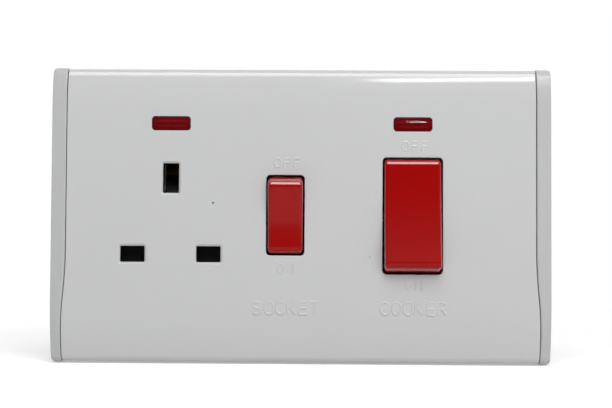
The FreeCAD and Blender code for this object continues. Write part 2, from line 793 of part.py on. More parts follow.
def plunger_spring(name, switch_x, pole_x, tilt):
    """The coil between the barrel's floor and the plunger's tail."""
    item = spring(name, "y", (pole_x, -barrel_floor, 0), plunger_tail + barrel_floor,
                  plunger_radius, spring_wire)
    return tip(item, tilt, switch_x, -pivot_depth)


def contact_bar(name, x, tilt):
    strip = block(name + "Strip", span(as_size(0), bar_width),
                  (-(bar_set_back + bar_thickness), -bar_set_back), span(as_size(0), bar_length))
    bead = rod(name + "Bead", "x", (-bar_width / 2, 0, 0), bar_width, bead_radius)
    rivet = rod(name + "Rivet", "y", (0, -bar_set_back, rivet_z), rivet_height, rivet_radius)
    return tip(fuse(name, strip, bead, rivet), tilt, x, bar_pivot_y)


def fulcrum(name, x, foot_z):
    """A strap with a nib whose round groove carries the bar's bead."""
    strap = block(name + "Strap", span(x, bar_width), strap_y, (foot_z, fulcrum_top_z))
    nib = block(name + "Nib", span(x, bar_width), (bar_pivot_y, strap_front_y),
                span(as_size(0), nib_height))
    groove = rod(name + "Groove", "x", (x - bar_width / 2, bar_pivot_y, 0), bar_width,
                 bead_radius + bead_gap)
    return cut(name, fuse(name + "Solid", strap, nib), groove)


def fixed_rivet(name, x):
    return rod(name + "Rivet", "y", (x, fixed_rivet_y, rivet_z), strap_front_y - fixed_rivet_y,
               rivet_radius)


def load_contact(name, x):
    strap = block(name + "Strap", span(x, bar_width), strap_y, (fixed_foot_z, terminal_far_z))
    return fuse(name, strap, fixed_rivet(name, x))


POLES = (
    ("socket", socket_switch_x, as_size(0), rocker_tilt, -bar_tilt, live_link_z[0]),
    ("cooker_live", cooker_switch_x, -pole_offset, -rocker_tilt, bar_tilt, -terminal_far_z),
    ("cooker_neutral", cooker_switch_x, pole_offset, -rocker_tilt, bar_tilt, -terminal_far_z),
)
nodes = {
    "front_cover": front_cover,
    "mounting_frame": mounting_frame,
    "socket_shutter": socket_shutter,
    "shutter_spring": shutter_spring,
    "socket_rocker": socket_rocker,
    "cooker_rocker": cooker_rocker,
}
for name, switch_x, pole_x, tilt, lean, foot_z in POLES:
    stem = name.title().replace("_", "")
    nodes[name + "_plunger"] = plunger(stem + "Plunger", switch_x, pole_x, tilt)
    nodes[name + "_plunger_spring"] = plunger_spring(stem + "PlungerSpring", switch_x, pole_x, tilt)
    nodes[name + "_contact_bar"] = contact_bar(stem + "ContactBar", switch_x + pole_x, lean)
    nodes[name + "_fulcrum"] = fulcrum(stem + "Fulcrum", switch_x + pole_x, foot_z)
nodes["load_live_contact"] = load_contact("LoadLiveContact", cooker_live_x)
nodes["load_neutral_contact"] = load_contact("LoadNeutralContact", cooker_neutral_x)


# Pin clips: folded strips with two leaves and a flared mouth, each seated on its strap

leaf_gap = size("leaf_gap", 4.2)
leaf_thickness = size("leaf_thickness", 0.8)
clip_mouth_y = size("clip_mouth_y", 1)
flare = size("flare", 0.9)
live_clip_width = size("live_clip_width", 6.4)
earth_clip_width = size("earth_clip_width", 7.9)
earth_strap_y = size("earth_strap_y", 17)


def pin_clip(name, width, rear_y):
    """A clip about its pin's axis, its leaves above and below, as wide as a given width along X."""
    inner = leaf_gap / 2
    outer = inner + leaf_thickness
    neck_y = clip_mouth_y + flare
    corners = [
        (clip_mouth_y, inner + flare, None),
        (neck_y, inner, None),
        (rear_y - leaf_thickness, inner, None),
        (rear_y - leaf_thickness, -inner, None),
        (neck_y, -inner, None),
        (clip_mouth_y, -(inner + flare), None),
        (clip_mouth_y, -(outer + flare), None),
        (neck_y, -outer, None),
        (rear_y, -outer, None),
        (rear_y, outer, None),
        (neck_y, outer, None),
        (clip_mouth_y, outer + flare, None),
    ]
    return prism(name, "YZ_Plane", corners, width)


live_clip = place(pin_clip("LiveClip", live_clip_width, strap_front_y),
                  live_x - live_clip_width / 2, 0, pin_row_z)
neutral_clip = place(pin_clip("NeutralClip", live_clip_width, strap_front_y),
                     neutral_x - live_clip_width / 2, 0, pin_row_z)
earth_clip = pin_clip("EarthClip", earth_clip_width, earth_strap_y)
earth_clip.Placement = FreeCAD.Placement(Vector(), FreeCAD.Rotation(AXIS_VECTOR["y"], 90))
place(earth_clip, socket_x, 0, earth_z + earth_clip_width / 2)
nodes["live_clip"] = live_clip
nodes["neutral_clip"] = neutral_clip
nodes["earth_clip"] = earth_clip


# Straps and links: stamped copper from the supply to the socket's pole, clips and neon

strap_width = size("strap_width", 5)
link_gap = size("link_gap", 1.2)
lead_tab_height = size("lead_tab_height", 3.6)
neutral_arm_width = size("neutral_arm_width", 3)
lead_tab_z = span(neon_z, lead_tab_height)
neutral_link_y = (strap_rear_y + link_gap, strap_rear_y + link_gap + strap_thickness)
neutral_link_top_z = live_link_z[0] + 2 * strap_thickness
neutral_link_z = (neutral_link_top_z - link_height, neutral_link_top_z)
clip_top_z = pin_row_z + leaf_gap / 2
neutral_arm_x = neutral_x + live_clip_width / 2

live_arm_x = span(live_x, strap_width)
socket_live_strap = fuse(
    "SocketLiveStrap",
    block("SocketLivePad", span(socket_switch_x, bar_width), strap_y,
          (fixed_foot_z, rivet_z + rivet_radius + strap_thickness)),
    fixed_rivet("SocketLive", socket_switch_x),
    block("SocketLiveRun", (live_x, socket_switch_x), strap_y, (fixed_foot_z, fixed_foot_z + link_height)),
    block("SocketLiveArm", live_arm_x, strap_y, (pin_row_z - leaf_gap / 2, lead_tab_z[1])),
    block("SocketLiveLeadTab", (socket_x + lead_x - resistor_radius, live_x), strap_y, lead_tab_z))
live_link = block("LiveLink", (socket_switch_x - bar_width / 2, cooker_live_x + bar_width / 2),
                  (strap_front_y - strap_thickness, strap_front_y), live_link_z)
neutral_link = fuse(
    "NeutralLink",
    block("NeutralRun", (neutral_x - live_clip_width / 2, cooker_neutral_x + bar_width / 2),
          neutral_link_y, neutral_link_z),
    block("NeutralSupplyTab", span(cooker_neutral_x, bar_width), (strap_rear_y, neutral_link_y[1]),
          neutral_link_z),
    block("NeutralClipTab", span(neutral_x, live_clip_width), (strap_front_y, neutral_link_y[1]),
          (neutral_link_z[0], clip_top_z)),
    block("NeutralArm", (neutral_arm_x - leaf_thickness, neutral_arm_x + neutral_arm_width), strap_y,
          (neutral_link_z[0], lead_tab_z[1])),
    block("NeutralLeadTab", (neutral_arm_x, socket_x - lead_x + resistor_radius), strap_y, lead_tab_z))
nodes["socket_live_strap"] = socket_live_strap
nodes["live_link"] = live_link
nodes["neutral_link"] = neutral_link


# Terminals: bored brass blocks in the rear housing, each wire clamped by a screw from behind

earth_bore_offset = size("earth_bore_offset", 4.5)
housing_inner_y = housing_depth - housing_wall
earth_front_y = strap_rear_y + strap_thickness
earth_terminal_width = 2 * earth_bore_offset + terminal_width


def terminal(name, width, front_y, bore_xs, x, up):
    """A block at the top or bottom of the housing, with a wire bore and a screw hole at each place."""
    low_z, high_z = (terminal_near_z, terminal_far_z) if up > 0 else (-terminal_far_z, -terminal_near_z)
    body = block(name + "Block", span(x, width), (front_y, housing_inner_y), (low_z, high_z))
    holes = []
    for index, bore_x in enumerate(bore_xs):
        holes.append(rod(f"{name}Bore{index}", "z", (bore_x, wire_y, low_z - cut_past),
                         terminal_height + 2 * cut_past, wire_bore_radius))
        holes.append(rod(f"{name}ScrewHole{index}", "y", (bore_x, wire_y, (low_z + high_z) / 2),
                         housing_inner_y - wire_y + cut_past, terminal_screw_radius + screw_gap))
    return cut(name, body, *holes)


wire_y = (strap_rear_y + housing_inner_y) / 2
EARTH_BORES = (socket_x - earth_bore_offset, socket_x + earth_bore_offset)
# Each terminal: its node, width, front, bores, centre, and +1 at the top or -1 at the bottom
TERMINALS = (
    ("supply_live_terminal", terminal_width, strap_rear_y, (cooker_live_x,), cooker_live_x, -1),
    ("supply_neutral_terminal", terminal_width, strap_rear_y, (cooker_neutral_x,), cooker_neutral_x, -1),
    ("load_live_terminal", terminal_width, strap_rear_y, (cooker_live_x,), cooker_live_x, 1),
    ("load_neutral_terminal", terminal_width, strap_rear_y, (cooker_neutral_x,), cooker_neutral_x, 1),
    ("earth_terminal", earth_terminal_width, earth_front_y, EARTH_BORES, socket_x, 1),
)
wire_places = []
for node, width, front_y, bore_xs, x, up in TERMINALS:
    nodes[node] = terminal(node.title().replace("_", ""), width, front_y, bore_xs, x, up)
    wire_places += [(bore_x, up) for bore_x in bore_xs]
nodes["earth_strap"] = block("EarthStrap", span(socket_x, strap_width),
                             (earth_strap_y, earth_strap_y + strap_thickness),
                             (earth_z - earth_clip_width / 2, terminal_near_z))

terminal_screw_z = (terminal_near_z + terminal_far_z) / 2
screw_tip_y = wire_y + wire_bore_radius + screw_gap
drive_slot = size("drive_slot", 0.8)


def slotted_screw(name, x, z, tip_y, seat_y, radius):
    """A cheese-headed screw that points forwards, its slotted head behind the seat."""
    shank = rod(name + "Shank", "y", (x, tip_y, z), seat_y - tip_y, radius)
    head = rod(name + "Head", "y", (x, seat_y, z), screw_head_height, screw_head_radius)
    slot = block(name + "Slot", span(x, 2 * screw_head_radius),
                 (seat_y + screw_head_height - drive_slot, seat_y + screw_head_height),
                 span(as_size(z), drive_slot))
    return cut(name, fuse(name + "Solid", shank, head), slot)


terminal_screws = group("TerminalScrews", *[
    slotted_screw(f"TerminalScrew{index}", x, up * terminal_screw_z, screw_tip_y, housing_inner_y,
                  terminal_screw_radius)
    for index, (x, up) in enumerate(wire_places)])
boss_places = [(across * assembly_screw_x, up * assembly_screw_z) for across in (-1, 1) for up in (-1, 1)]
assembly_seat_y = housing_depth - screw_head_height - screw_gap
assembly_screws = group("AssemblyScrews", *[
    slotted_screw(f"AssemblyScrew{index}", x, z, frame_front_y + 2 * screw_gap + seat_depth,
                  assembly_seat_y, assembly_screw_radius)
    for index, (x, z) in enumerate(boss_places)])
nodes["terminal_screws"] = terminal_screws
nodes["assembly_screws"] = assembly_screws


# Rear housing: an open-fronted moulding with pillars for the straps, screw bosses and wire entries

housing_front_y = -seat_depth
rib_width = size("rib_width", 0.8)


def pillar(name, x, width, front_y, z_range):
    return block(name, span(x, width), (front_y, housing_inner_y + housing_wall / 2), z_range)


outer_box = rounded("HousingOuter", block("HousingBlock", span(as_size(0), housing_width),
                                          (housing_front_y, housing_depth),
                                          span(as_size(0), housing_height)), "y", housing_corner)
inner_box = block("HousingInner", span(as_size(0), housing_width - 2 * housing_wall),
                  (housing_front_y - cut_past, housing_inner_y),
                  span(as_size(0), 2 * housing_inner_z))
housing_parts = [cut("HousingTray", outer_box, inner_box)]
for index, x in enumerate((socket_switch_x, cooker_live_x, cooker_neutral_x)):
    housing_parts.append(pillar(f"FulcrumPillar{index}", x, bar_width, strap_rear_y,
                                (-nib_height, fulcrum_top_z)))
    housing_parts.append(pillar(f"ContactPillar{index}", x, bar_width, strap_rear_y,
                                (fixed_foot_z, rivet_z + rivet_radius)))
housing_parts.append(pillar("LiveClipPillar", live_x, strap_width, strap_rear_y,
                            (fixed_foot_z, rivet_z + rivet_radius)))
housing_parts.append(pillar("NeutralClipPillar", neutral_x, strap_width, neutral_link_y[1],
                            (neutral_link_z[0], clip_top_z)))
housing_parts.append(pillar("EarthClipPillar", socket_x, strap_width, earth_strap_y + strap_thickness,
                            span(earth_z, earth_clip_width)))
housing_parts.append(pillar("PoleBarrier", cooker_switch_x, rib_width, as_size(0),
                            span(as_size(0), bar_length)))
for index, (x, z) in enumerate(boss_places):
    housing_parts.append(rod(f"Boss{index}", "y", (x, housing_front_y, z),
                             housing_inner_y + housing_wall / 2 - housing_front_y, boss_radius))
housing_holes = []
for index, (x, z) in enumerate(boss_places):
    housing_holes.append(rod(f"BossHole{index}", "y", (x, housing_front_y - cut_past, z),
                             housing_depth + 2 * cut_past, assembly_screw_radius + screw_gap))
    housing_holes.append(rod(f"BossSink{index}", "y", (x, assembly_seat_y, z),
                             housing_depth - assembly_seat_y + cut_past, screw_head_radius + screw_gap))
for index, (x, up) in enumerate(wire_places):
    housing_holes.append(rod(f"DriverHole{index}", "y", (x, housing_inner_y - cut_past / 2,
                                                         up * terminal_screw_z),
                             housing_wall + cut_past, screw_head_radius + frame_gap))
entry_reach = wire_bore_radius + wire_entry_gap
entry_far_z = housing_inner_z + housing_wall + cut_past
for node, width, front_y, bore_xs, x, up in TERMINALS:
    z_range = (housing_inner_z, entry_far_z) if up > 0 else (-entry_far_z, -housing_inner_z)
    housing_holes.append(block(node.title().replace("_", "") + "Entry",
                               (bore_xs[0] - entry_reach, bore_xs[-1] + entry_reach),
                               span(wire_y, 2 * entry_reach), z_range))
nodes["rear_housing"] = cut("RearHousing", fuse("HousingSolid", *housing_parts), *housing_holes)


# Neons: a red lens in the cover, and behind it a glass lamp with its leads and series resistor

def lens(name, x):
    face = rounded(name + "Face", block(name + "FaceBlock", span(x, lens_width - 2 * lens_gap),
                                        (cover_face_y - lens_proud, cover_inner_y + lens_flange),
                                        span(neon_z, lens_height - 2 * lens_gap)), "y", lens_corner - lens_gap)

    def rim(edge):
        return edge.BoundBox.YMax < cover_face_y.value - lens_proud.value + FLAT_ENOUGH

    domed = dressed("Part::Fillet", name + "Domed", face, lens_proud, rim)
    flange = block(name + "Flange", span(x, lens_width + 2 * lens_flange),
                   (cover_inner_y, cover_inner_y + lens_flange), span(neon_z, lens_height + 2 * lens_flange))
    return fuse(name, domed, flange)


def lamp(name, x):
    """A glass tube along X, drawn in at its ends, its leads running back to the straps."""
    end_x = lamp_length / 2 - lamp_taper
    parts = [rod(name + "Glass", "x", (x - end_x, lamp_y, neon_z), 2 * end_x, lamp_radius)]
    for side, start, radii in ((-1, x - lamp_length / 2, (lamp_seal_radius, lamp_radius)),
                               (1, x + end_x, (lamp_radius, lamp_seal_radius))):
        end = doc.addObject("Part::Cone", f"{name}End{side + 1}")
        end.Placement = FreeCAD.Placement(Vector(), AXIS_TURN["x"])
        bind(end, "Radius1", radii[0])
        bind(end, "Radius2", radii[1])
        bind(end, "Height", lamp_taper)
        parts.append(place(end, start, lamp_y, neon_z))
        parts.append(rod(f"{name}Lead{side + 1}", "y", (x + side * lead_x, lamp_y, neon_z),
                         strap_front_y - lamp_y, lead_radius))
    return fuse(name, *parts)


def resistor(name, x):
    """The ballast resistor threaded on the live lead, behind the frame."""
    start = (x, strap_front_y - 2 * resistor_length, neon_z)
    body = rod(name + "Body", "y", start, resistor_length, resistor_radius)
    return cut(name, body, rod(name + "Bore", "y", start, resistor_length, lead_radius + screw_gap))


for name, x in NEONS:
    nodes[name.lower() + "_neon_lens"] = lens(name + "Lens", x)
    nodes[name.lower() + "_neon_lamp"] = lamp(name + "Lamp", x)
nodes["neon_resistors"] = group("NeonResistors", resistor("SocketResistor", socket_x + lead_x),
                                resistor("CookerResistor", cooker_switch_x - lead_x))


# Each node is checked before any file is written

doc.recompute()
failed = [item.Name for item in doc.Objects if "Invalid" in item.State or "Error" in item.State]
if failed:
    raise RuntimeError(f"objects that failed to build: {failed}")
for node, item in nodes.items():
    item.Label = node
    if item.Shape.isNull() or not item.Shape.isValid() or not item.Shape.Solids:
        raise RuntimeError(f"{node} has no valid solid")
os.makedirs("parts", exist_ok=True)
for node, item in nodes.items():
    item.Shape.exportStep(f"parts/{node}.step")
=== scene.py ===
import math

import bmesh
import bpy
from mathutils import Matrix, Vector


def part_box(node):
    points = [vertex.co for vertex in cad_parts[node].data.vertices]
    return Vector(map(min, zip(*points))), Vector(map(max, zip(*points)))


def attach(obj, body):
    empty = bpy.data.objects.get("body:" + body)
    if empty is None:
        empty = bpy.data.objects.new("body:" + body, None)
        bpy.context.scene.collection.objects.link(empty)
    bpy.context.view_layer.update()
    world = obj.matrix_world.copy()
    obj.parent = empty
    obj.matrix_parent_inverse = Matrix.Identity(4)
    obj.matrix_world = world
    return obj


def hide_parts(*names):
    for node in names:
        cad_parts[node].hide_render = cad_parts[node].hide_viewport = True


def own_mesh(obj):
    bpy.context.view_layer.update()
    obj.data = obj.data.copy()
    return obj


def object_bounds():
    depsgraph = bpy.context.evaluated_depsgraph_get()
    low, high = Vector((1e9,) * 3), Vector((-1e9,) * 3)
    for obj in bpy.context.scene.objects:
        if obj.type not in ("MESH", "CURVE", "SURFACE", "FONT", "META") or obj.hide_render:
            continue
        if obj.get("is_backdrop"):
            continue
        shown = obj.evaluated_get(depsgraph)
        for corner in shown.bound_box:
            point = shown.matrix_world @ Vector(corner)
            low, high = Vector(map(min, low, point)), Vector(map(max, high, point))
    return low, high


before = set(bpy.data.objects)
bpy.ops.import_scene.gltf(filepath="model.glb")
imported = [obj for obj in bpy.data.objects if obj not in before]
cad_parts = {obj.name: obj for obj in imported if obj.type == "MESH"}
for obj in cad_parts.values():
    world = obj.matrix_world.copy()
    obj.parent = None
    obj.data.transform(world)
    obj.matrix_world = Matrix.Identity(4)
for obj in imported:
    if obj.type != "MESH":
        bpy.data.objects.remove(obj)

cad_low, cad_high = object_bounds()


# Rear housing: the deep tray behind the plate that carries the terminals and the switch poles.
# Off-white thermoset pressed in a steel tool, so it has a faint mottle and barely broken edges.
# Four screws from behind pull its rim into a seat in the mounting frame.
def add(tree, kind, inputs=None, **settings):
    """Place one shader node, set it up, and fill or link its inputs."""
    node = tree.nodes.new(kind)
    for key, value in settings.items():
        setattr(node, key, value)
    for key, value in (inputs or {}).items():
        if isinstance(value, bpy.types.NodeSocket):
            tree.links.new(value, node.inputs[key])
        else:
            node.inputs[key].default_value = value
    return node


def shared_effect(name, inputs, outputs):
    """An empty node group, with its input and output nodes, for an effect that several finishes use."""
    tree = bpy.data.node_groups.new(name, "ShaderNodeTree")
    for label, kind in inputs:
        tree.interface.new_socket(name=label, in_out="INPUT", socket_type="NodeSocket" + kind)
    for label, kind in outputs:
        tree.interface.new_socket(name=label, in_out="OUTPUT", socket_type="NodeSocket" + kind)
    return tree, tree.nodes.new("NodeGroupInput").outputs, tree.nodes.new("NodeGroupOutput").inputs


moulded_skin, given, made = shared_effect(
    "moulded skin",
    [("Colour", "Color"), ("Mottle", "Float"), ("Mottle Size", "Float"), ("Roughness", "Float"),
     ("Grain Size", "Float")],
    [("Colour", "Color"), ("Roughness", "Float"), ("Height", "Float")])
where = add(moulded_skin, "ShaderNodeTexCoord").outputs["Object"]
flow = add(moulded_skin, "ShaderNodeTexNoise",
           {"Vector": where, "Scale": given["Mottle Size"], "Detail": 3.0, "Distortion": 0.6})
less = add(moulded_skin, "ShaderNodeMath", {0: 1.0, 1: given["Mottle"]}, operation="SUBTRACT")
more = add(moulded_skin, "ShaderNodeMath", {0: 1.0, 1: given["Mottle"]}, operation="ADD")
shade = add(moulded_skin, "ShaderNodeMapRange",
            {"Value": flow.outputs["Fac"], "From Min": 0.3, "From Max": 0.7,
             "To Min": less.outputs[0], "To Max": more.outputs[0]})
tinted = add(moulded_skin, "ShaderNodeVectorMath",
             {0: given["Colour"], "Scale": shade.outputs["Result"]}, operation="SCALE")
grain = add(moulded_skin, "ShaderNodeTexNoise",
            {"Vector": where, "Scale": given["Grain Size"], "Detail": 2.0, "Roughness": 0.6})
uneven = add(moulded_skin, "ShaderNodeMapRange",
             {"Value": grain.outputs["Fac"], "From Min": 0.3, "From Max": 0.7,
              "To Min": 0.85, "To Max": 1.15})
rough = add(moulded_skin, "ShaderNodeMath",
            {0: given["Roughness"], 1: uneven.outputs["Result"]}, operation="MULTIPLY")
moulded_skin.links.new(tinted.outputs["Vector"], made["Colour"])
moulded_skin.links.new(rough.outputs[0], made["Roughness"])
moulded_skin.links.new(grain.outputs["Fac"], made["Height"])


def shader_of(material):
    """The one shader of a finish."""
    return material.node_tree.nodes["Principled BSDF"]


def new_finish(name, effect, values, depth):
    """A finish whose colour, gloss and relief, if it has a depth, come from a shared effect."""
    material = bpy.data.materials.new(name)
    material.use_nodes = True
    tree = material.node_tree
    shader = shader_of(material)
    surface = add(tree, "ShaderNodeGroup", values, node_tree=effect)
    tree.links.new(surface.outputs["Colour"], shader.inputs["Base Color"])
    tree.links.new(surface.outputs["Roughness"], shader.inputs["Roughness"])
    if depth:
        relief = add(tree, "ShaderNodeBump",
                     {"Height": surface.outputs["Height"], "Strength": 1.0, "Distance": depth})
        tree.links.new(relief.outputs["Normal"], shader.inputs["Normal"])
    return material


def moulded(name, colour, roughness, mottle, mottle_size, grain_size, grain_depth):
    """A moulded plastic finish, its colour, gloss and skin all slightly uneven."""
    values = {"Colour": (*colour, 1.0), "Mottle": mottle, "Mottle Size": mottle_size,
              "Roughness": roughness, "Grain Size": grain_size}
    return new_finish(name, moulded_skin, values, grain_depth)


def linked(name, data):
    """A new object in the scene, made of some data."""
    thing = bpy.data.objects.new(name, data)
    bpy.context.scene.collection.objects.link(thing)
    return thing


weld_reach = 1e-6
flat_angle, sharp_angle = math.radians(0.3), math.radians(38)
large_face_weight = 80


def eased(node, body, softness, finish, reshape=None):
    """The node's own form, reshaped if asked, its sharp edges broken by a width, in the node's place."""
    form = bmesh.new()
    form.from_mesh(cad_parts[node].data)
    bmesh.ops.remove_doubles(form, verts=form.verts, dist=weld_reach)
    bmesh.ops.dissolve_limit(form, angle_limit=flat_angle, verts=form.verts, edges=form.edges)
    for face in form.faces:
        face.material_index = 0
    if reshape:
        reshape(form)
    for edge in form.edges:
        edge.smooth = True
    for face in form.faces:
        face.smooth = True
    mesh = bpy.data.meshes.new(node + "_form")
    form.to_mesh(mesh)
    form.free()
    if "custom_normal" in mesh.attributes:
        mesh.attributes.remove(mesh.attributes["custom_normal"])
    mesh.materials.append(finish)
    piece = linked(node + "_eased", mesh)
    if softness:
        broken = piece.modifiers.new("broken edges", "BEVEL")
        broken.width = softness
        broken.segments = 2
        broken.limit_method = "ANGLE"
        broken.angle_limit = sharp_angle
        broken.use_clamp_overlap = False
    even = piece.modifiers.new("even shading", "WEIGHTED_NORMAL")
    even.weight = large_face_weight
    even.keep_sharp = True
    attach(piece, body)
    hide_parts(node)
    return piece


housing_white = moulded("housing white", (0.56, 0.555, 0.53), roughness=0.42, mottle=0.03,
                        mottle_size=60.0, grain_size=1800.0, grain_depth=0.00002)
eased("rear_housing", "unit", softness=0.00025, finish=housing_white)


# Terminals: five bored brass blocks, sawn from drawn bar, that clamp the supply, load and earth wires.
# The brass is bare, a little dull, and streaked along the bar by the drawing die.
# Each block lies in a pocket of the rear housing, against the strap that it feeds.
worked_metal, given, made = shared_effect(
    "worked metal",
    [("Colour", "Color"), ("Dull Colour", "Color"), ("Dullness", "Float"), ("Roughness", "Float"),
     ("Streak", "Vector")],
    [("Colour", "Color"), ("Roughness", "Float"), ("Height", "Float")])
where = add(worked_metal, "ShaderNodeTexCoord").outputs["Object"]
along = add(worked_metal, "ShaderNodeVectorMath", {0: where, 1: given["Streak"]}, operation="MULTIPLY")
lines = add(worked_metal, "ShaderNodeTexNoise",
            {"Vector": along.outputs["Vector"], "Scale": 1.0, "Detail": 4.0})
stain = add(worked_metal, "ShaderNodeTexNoise",
            {"Vector": where, "Scale": 260.0, "Detail": 4.0, "Distortion": 0.8})
patch = add(worked_metal, "ShaderNodeMapRange",
            {"Value": stain.outputs["Fac"], "From Min": 0.42, "From Max": 0.66, "To Min": 0.0,
             "To Max": given["Dullness"]})
toned = add(worked_metal, "ShaderNodeMix",
            {0: patch.outputs["Result"], 6: given["Colour"], 7: given["Dull Colour"]}, data_type="RGBA")
drag = add(worked_metal, "ShaderNodeMapRange",
           {"Value": lines.outputs["Fac"], "From Min": 0.3, "From Max": 0.7,
            "To Min": 0.8, "To Max": 1.3})
rough = add(worked_metal, "ShaderNodeMath",
            {0: given["Roughness"], 1: drag.outputs["Result"]}, operation="MULTIPLY")
worked_metal.links.new(toned.outputs[2], made["Colour"])
worked_metal.links.new(rough.outputs[0], made["Roughness"])
worked_metal.links.new(lines.outputs["Fac"], made["Height"])


def metal(name, colour, dull_colour, dullness, roughness, streak, streak_depth):
    """A bare metal finish, streaked by its working and dulled in patches."""
    values = {"Colour": (*colour, 1.0), "Dull Colour": (*dull_colour, 1.0), "Dullness": dullness,
              "Roughness": roughness, "Streak": streak}
    material = new_finish(name, worked_metal, values, streak_depth)
    shader_of(material).inputs["Metallic"].default_value = 1.0
    return material


drawn_brass = metal("drawn brass", (0.62, 0.42, 0.16), (0.36, 0.22, 0.08), dullness=0.6, roughness=0.28,
                    streak=(2500, 2500, 120), streak_depth=0.000006)
for node in ("supply_live_terminal", "supply_neutral_terminal", "load_live_terminal",
             "load_neutral_terminal", "earth_terminal"):
    eased(node, "unit", softness=0.0003, finish=drawn_brass)


# Terminal and assembly screws: slotted cheese-heads, turned and then zinc plated.
# The plating is bright, with a fine grain and a few dull patches.
# Six clamp the wires in the terminals, and four hold the housing to the frame.
plated_steel = metal("plated steel", (0.58, 0.57, 0.54), (0.40, 0.38, 0.33), dullness=0.5, roughness=0.26,
                     streak=(1800, 1800, 1800), streak_depth=0.000005)
for node in ("terminal_screws", "assembly_screws"):
    eased(node, "unit", softness=0.00015, finish=plated_steel)


# Straps, links and switch contacts: stamped from copper strip, with round contact rivets.
# The copper has the streaks of the rolling mill and is browned in patches.
# The straps lie on pillars of the rear housing, and the three bars rock on their fulcrums.
def refinish(nodes, material):
    """Give a new finish to CAD nodes that are shown as they are."""
    for node in nodes:
        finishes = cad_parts[node].data.materials
        finishes.clear()
        finishes.append(material)


rolled_copper = metal("rolled copper", (0.66, 0.30, 0.17), (0.32, 0.13, 0.07), dullness=0.65, roughness=0.3,
                      streak=(150, 2200, 2200), streak_depth=0.000005)
refinish(("socket_fulcrum", "cooker_live_fulcrum", "cooker_neutral_fulcrum", "socket_contact_bar",
          "cooker_live_contact_bar", "cooker_neutral_contact_bar", "load_live_contact",
          "load_neutral_contact", "socket_live_strap", "live_link", "neutral_link", "earth_strap"),
         rolled_copper)


# Pin clips: folded brass strip whose two leaves grip each pin of a plug.
# Spring brass, brighter than the terminals and streaked along the strip.
# Each clip stands on its strap behind the frame, in line with a slot of the cover.
spring_brass = metal("spring brass", (0.68, 0.48, 0.20), (0.42, 0.27, 0.10), dullness=0.4, roughness=0.24,
                     streak=(2400, 140, 2400), streak_depth=0.000005)
refinish(("live_clip", "neutral_clip", "earth_clip"), spring_brass)


# Mounting frame: the plate that is screwed to the wall box, with the two cheeks that show at the sides.
# The same white thermoset as the cover, a shade darker and less glossy, with a little dust.
# The cover clips over its long edges, and its posts carry the rockers, shutter and lamps.
specks, given, made = shared_effect(
    "dust specks", [("Spacing", "Float"), ("Share", "Float")], [("Mask", "Float")])
where = add(specks, "ShaderNodeTexCoord").outputs["Object"]
cells = add(specks, "ShaderNodeTexVoronoi",
            {"Vector": where, "Scale": given["Spacing"], "Randomness": 1.0})
chance = add(specks, "ShaderNodeSeparateColor", {"Color": cells.outputs["Color"]})
chosen = add(specks, "ShaderNodeMath",
             {0: chance.outputs["Red"], 1: given["Share"]}, operation="LESS_THAN")
spot_size = add(specks, "ShaderNodeMapRange",
                {"Value": chance.outputs["Green"], "To Min": 0.03, "To Max": 0.09})
inside = add(specks, "ShaderNodeMath",
             {0: cells.outputs["Distance"], 1: spot_size.outputs["Result"]}, operation="LESS_THAN")
spot = add(specks, "ShaderNodeMath", {0: chosen.outputs[0], 1: inside.outputs[0]}, operation="MULTIPLY")
specks.links.new(spot.outputs[0], made["Mask"])


def soil(material, mask, dirt):
    """Lay a colour of dirt over a finish where a mask says."""
    tree = material.node_tree
    colour = shader_of(material).inputs["Base Color"]
    soiled = add(tree, "ShaderNodeMix", {0: mask, 6: colour.links[0].from_socket, 7: (*dirt, 1.0)},
                 data_type="RGBA")
    tree.links.new(soiled.outputs[2], colour)


def dust(material, spacing, share, dirt):
    """Scatter a few specks of dirt over a finish."""
    scattered = add(material.node_tree, "ShaderNodeGroup", {"Spacing": spacing, "Share": share},
                    node_tree=specks)
    soil(material, scattered.outputs["Mask"], dirt)


frame_white = moulded("frame white", (0.475, 0.478, 0.482), roughness=0.22, mottle=0.012,
                      mottle_size=40.0, grain_size=1500.0, grain_depth=0.000006)
dust(frame_white, spacing=140.0, share=0.03, dirt=(0.34, 0.33, 0.31))
eased("mounting_frame", "unit", softness=0.00008, finish=frame_white)


# Shutter and its coil: the black slide that shuts two slots until an earth pin pushes it down.
# Matt black nylon, and a spring of plated wire wound with closed end turns.
# The slide runs in rails on the frame, and the coil stands between its foot and a seat below.
turn_steps, wire_sides = 24, 8


